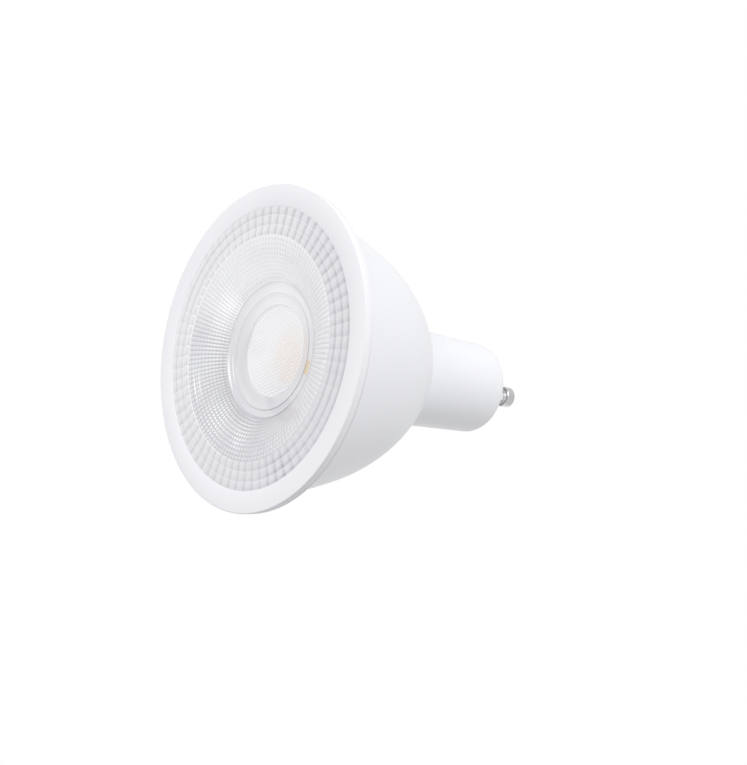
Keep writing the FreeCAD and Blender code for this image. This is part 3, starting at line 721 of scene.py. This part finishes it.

# Painted glow and glints in the emission, for light that comes back out through the clear plastic.
crown = held(1.2 - round_at * round_at * 2.4)
peak = crown * held(1.2 - across_at * across_at * 2.4)
glints = spot(0.3, 11.8, 3.4) + spot(0.7, 14.5, 2.4) * 0.8 + spot(-5.8, 12.6, 4.6) * 0.9
glints = glints * peak + (spot(-10.6, -4.6, 2.8) * 0.6 + spot(-11.8, -1.6, 2.4) * 0.3) * crown
thin_glints = (ring(15.88, 16.02) + ring(14.92, 15.06)) * spot(-12.8, 9.0, 3.4) * 1.4
inner_bowl_glow = held((14.5 * MM - reach) / (3.0 * MM)) * held(0.5 - y / reach * 0.5 + away * 0.2) * 0.15
wall_glow = (ring(6.96, 7.3) + ring(8.78, 9.1)) * (1.0 - middle)
wall_glow = wall_glow * held(0.1 + beside * 0.6 - away * 0.1) * 0.3
wall_glow = wall_glow + ring(10.4, 10.75) * held(beside * 0.9 - away * 0.05) * 0.16
rim_light = ring(7.05, 7.28) * spot(5.6, -4.6, 3.0) * 0.4
step_light = (ring(10.3, 10.5) + ring(9.4, 9.55)) * spot(-8.7, 5.2, 3.4) * 0.5
glow = (glints * 0.35 + thin_glints * 0.4 + inner_bowl_glow) * bowl + rim_light + wall_glow + step_light

# The bowl is lit as if it were flat, since light crosses it from behind.
tilt = lens_front.add("ShaderNodeSeparateXYZ")
lens_front.put(tilt.inputs[0], lens_front.bump(grain, 0.1, 0.00002))
nx, ny, nz = [Value(lens_front.tree, o) for o in tilt.outputs]
flatten = lens_front.attribute("slope") * bowl * nz / reach * 1.15
bent = lens_front.add("ShaderNodeCombineXYZ", None, X=nx + flatten * x, Y=ny + flatten * y, Z=nz)
even = lens_front.add("ShaderNodeVectorMath", {"operation": "NORMALIZE"})
lens_front.put(even.inputs[0], bent.outputs[0])
lens_front.wear(
    Base_Color=plastic,
    Roughness=grain * 0.1 + 0.4,
    Specular_IOR_Level=0.0,
    Normal=even.outputs[0],
    Coat_Weight=1.0,
    Coat_Roughness=0.12,
    Coat_IOR=1.5,
    Emission_Color=lens_front.between(glow, (0.0, 0.0, 0.0), (1.0, 1.0, 1.0)),
    Emission_Strength=1.0,
)
clear_share = middle * 0.1 + flats * 0.12 + bowl * 0.1 + rows * 0.06
unseen = 1.0 - lens_front.seen_by_camera()
lens_front.let_through(clear_share.maths("MAXIMUM", unseen * 0.8))

lens_back = Finish("lens plastic, back")
lens_back.wear(
    Base_Color=lens_back.between(lens_back.noise(700.0), (0.95, 0.95, 0.97), (1.0, 1.0, 1.0)),
    Roughness=0.1,
    Alpha=0.12,
)

# The finished lens, with sharp edges along the borders of its cells.
modifier = lens_blank.modifiers.new("facets", "NODES")
modifier.node_group = facet_tree
wanted = {**lens_sizes, "Front": lens_front.material, "Back": lens_back.material}
for item in face.items_tree:
    if item.item_type == "SOCKET" and item.in_out == "INPUT" and item.name in wanted:
        modifier[item.identifier] = wanted[item.name]
graph = bpy.context.evaluated_depsgraph_get()
lens_mesh = bpy.data.meshes.new_from_object(lens_blank.evaluated_get(graph), depsgraph=graph)
lens = bpy.data.objects.new("lens_moulding", lens_mesh)
bpy.context.scene.collection.objects.link(lens)
bpy.data.objects.remove(lens_blank)
lens_mesh.shade_smooth()
lens_mesh.set_sharp_from_angle(angle=math.radians(40.0))
path_place, round_place = [], []
for k, (r, h) in enumerate(lens_path):
    size = 1 if r < 1e-6 else lens_around
    path_place += [k] * size
    round_place += range(size)
for edge in lens_mesh.edges:
    a, b = edge.vertices
    ka, kb = path_place[a], path_place[b]
    if cells[ka] < 0.0 or cells[kb] < 0.0:
        continue
    if ka == kb:
        edge.use_edge_sharp = abs(cells[ka] - round(cells[ka])) < 0.01
    else:
        every = steps_per_facet if FACETS in (kinds[ka], kinds[kb]) else steps_per_facet // 2
        edge.use_edge_sharp = round_place[a] == round_place[b] and round_place[a] % every == 0
dress(lens, None, "lens_clear", "lens")


# Bezel ring
# A flat white ring, rounded at its edges, welded over the lens rim onto the
# mouth of the housing.

bezel_r, bezel_bore, bezel_round = 25.0, 21.6, 0.15
lens_seat_r, lens_seat_z = 22.3, 0.35
mouth_seat_r, bezel_back = 23.1, 1.52
bezel_path = [(bezel_bore, lens_seat_z), (bezel_bore, 0.1), (21.63, 0.03), (21.7, 0.0)]
bezel_path += [(bezel_r - bezel_round, 0.0)]
bezel_path += arc_to(bezel_path[-1], (bezel_r, bezel_round), bezel_round, 6)
bezel_path += [(24.9, 1.36), (24.86, 1.47), (24.76, bezel_back), (23.16, bezel_back)]
bezel_path += [(mouth_seat_r, 1.46), (mouth_seat_r, mouth_z)]
bezel_path += [(lens_seat_r, mouth_z), (lens_seat_r, lens_seat_z)]
bezel = turned("bezel", bezel_path, 320)
moulded_ring = Finish("white moulded ring")
x, y, z = moulded_ring.axes()
reach = (x * x + y * y).maths("SQRT")
fine = moulded_ring.noise(2600.0, 3.0)
broad = moulded_ring.noise(60.0, 2.0)
ring_white = moulded_ring.between(broad, (0.85, 0.85, 0.885), (0.88, 0.88, 0.91))
# The outer front edge is painted a little darker all round.
darkened_front_edge = (reach > (bezel_r - 0.16) * MM) * (z < 0.2 * MM)
ring_white = moulded_ring.between(darkened_front_edge * 0.14, ring_white, (0.3, 0.3, 0.33))
# Painted shade on the back of the ring's side wall, on one side only, where the ring meets the dome.
back_edge_shade = (z > 1.12 * MM) * (reach > 24.4 * MM) * held((x * 0.8 + y * 0.6) / reach * 2.2 - 1.1)
ring_white = moulded_ring.between(back_edge_shade * 0.24, ring_white, (0.3, 0.3, 0.33))
moulded_ring.wear(
    Base_Color=ring_white,
    Roughness=moulded_ring.noise(300.0) * 0.08 + 0.52,
    Normal=moulded_ring.bump(fine, 0.12, 0.00003),
    Specular_IOR_Level=0.2,
)
dress(bezel, moulded_ring, "bezel_white", "bezel_ring")


# Camera
# It stands where the photograph was taken: below the lens plane, 220 mm from the
# ring's centre, turned with the lamp's lean in the picture.

photo_w, photo_h = 747, 765
ring_centre_px = (254.64, 347.46)
focal_px = 1458.8
distance = 220.0 * MM
off_axis = math.radians(53.6)
lean = math.radians(10.61)
pin_turn = math.radians(-5.0)
stand = Vector((math.sin(off_axis), 0, -math.cos(off_axis))) * distance
ahead = -stand.normalized()
right = Vector((0, 1, 0)).cross(ahead).normalized()
down = ahead.cross(right)
view = Matrix((right, down, ahead))
roll = Matrix.Rotation(lean, 3, "Z")
off_right = (ring_centre_px[0] - photo_w / 2) / focal_px
off_down = (ring_centre_px[1] - photo_h / 2) / focal_px
towards_ring = Vector((off_right, off_down, 1.0)).normalized()
aim = Vector((0, 0, 1)).rotation_difference(towards_ring).to_matrix()
view = aim @ roll @ view
spin = Matrix.Rotation(pin_turn, 3, "Z")
view = view @ spin.transposed()
stand = spin @ stand
view_right, view_down, view_ahead = view[0].copy(), view[1].copy(), view[2].copy()
camera_data = bpy.data.cameras.new("camera")
camera_data.sensor_fit = "AUTO"
camera_data.sensor_width = 36.0
camera_data.lens = focal_px * 36.0 / max(photo_w, photo_h)
camera_data.clip_start = 0.005
camera_data.clip_end = 20.0
camera = bpy.data.objects.new("camera", camera_data)
turn_to = Matrix((view_right, -view_down, -view_ahead)).transposed().to_4x4()
camera.matrix_world = Matrix.Translation(stand) @ turn_to
bpy.context.scene.collection.objects.link(camera)
bpy.context.scene.camera = camera


# Floor
# A pale table top under the ring, which ends where the lamps stand. It can't be
# seen from below, so the camera sees the lens, and it throws no shade.

half_side, under = 0.4, -0.02 * MM
table_mesh = bpy.data.meshes.new("table")
corners = [(a * half_side, b * half_side, under) for a, b in ((-1, -1), (1, -1), (1, 1), (-1, 1))]
table_mesh.from_pydata(corners, [], [(0, 1, 2, 3)])
table = bpy.data.objects.new("table", table_mesh)
bpy.context.scene.collection.objects.link(table)
table_top = Finish("pale table top")
table_top.wear(
    Base_Color=table_top.between(table_top.noise(8.0), (0.86, 0.86, 0.86), (0.9, 0.9, 0.9)),
    Roughness=0.7,
)
from_below = Value(table_top.tree, table_top.add("ShaderNodeNewGeometry").outputs["Backfacing"])
table_top.let_through(1.0 - table_top.seen_by_camera() * (1.0 - from_below))
table.data.materials.append(table_top.material)


# Studio light
# Two big soft boxes stand in front to the left and right. Weak ones stand
# above, below and behind, in an even white room.

lamp_centre = Vector((0, 0, 22.0 * MM))
lamp_far, lamp_side = 0.6, 0.45
room_level = 0.47


def soft_lamp(name, direction, watts):
    data = bpy.data.lights.new(name, "AREA")
    data.shape = "SQUARE"
    data.size = lamp_side
    data.energy = watts
    lamp = bpy.data.objects.new(name, data)
    direction = direction.normalized()
    place = lamp_centre + direction * lamp_far
    facing_in = direction.to_track_quat("Z", "Y").to_matrix().to_4x4()
    lamp.matrix_world = Matrix.Translation(place) @ facing_in
    lamp.visible_camera = False
    bpy.context.scene.collection.objects.link(lamp)


soft_lamp("left box", -view_right * 0.6 - view_down * 0.5 - view_ahead * 0.6, 2.05)
soft_lamp("right box", view_right * 0.6 - view_down * 0.5 - view_ahead * 0.6, 2.2)
soft_lamp("top box", view_right * 0.7 - view_down * 0.7, 0.11)
soft_lamp("low box", view_down, 0.27)
soft_lamp("back box", view_down * 0.8 + view_ahead * 0.9, 0.18)

world = bpy.data.worlds.new("white room")
bpy.context.scene.world = world
world.use_nodes = True
room = world.node_tree
path_kind = room.nodes.new("ShaderNodeLightPath")
shown = Value(room, path_kind.outputs["Is Camera Ray"])
shown = shown.maths("MAXIMUM", Value(room, path_kind.outputs["Is Glossy Ray"]))
shown = shown.maths("MAXIMUM", Value(room, path_kind.outputs["Is Transmission Ray"]))
background = room.nodes["Background"]
background.inputs["Color"].default_value = (1.0, 1.0, 1.0, 1.0)
strength = shown * (1.0 - room_level) + room_level
room.links.new(strength.socket, background.inputs["Strength"])

bpy.context.scene.view_settings.view_transform = "Standard"
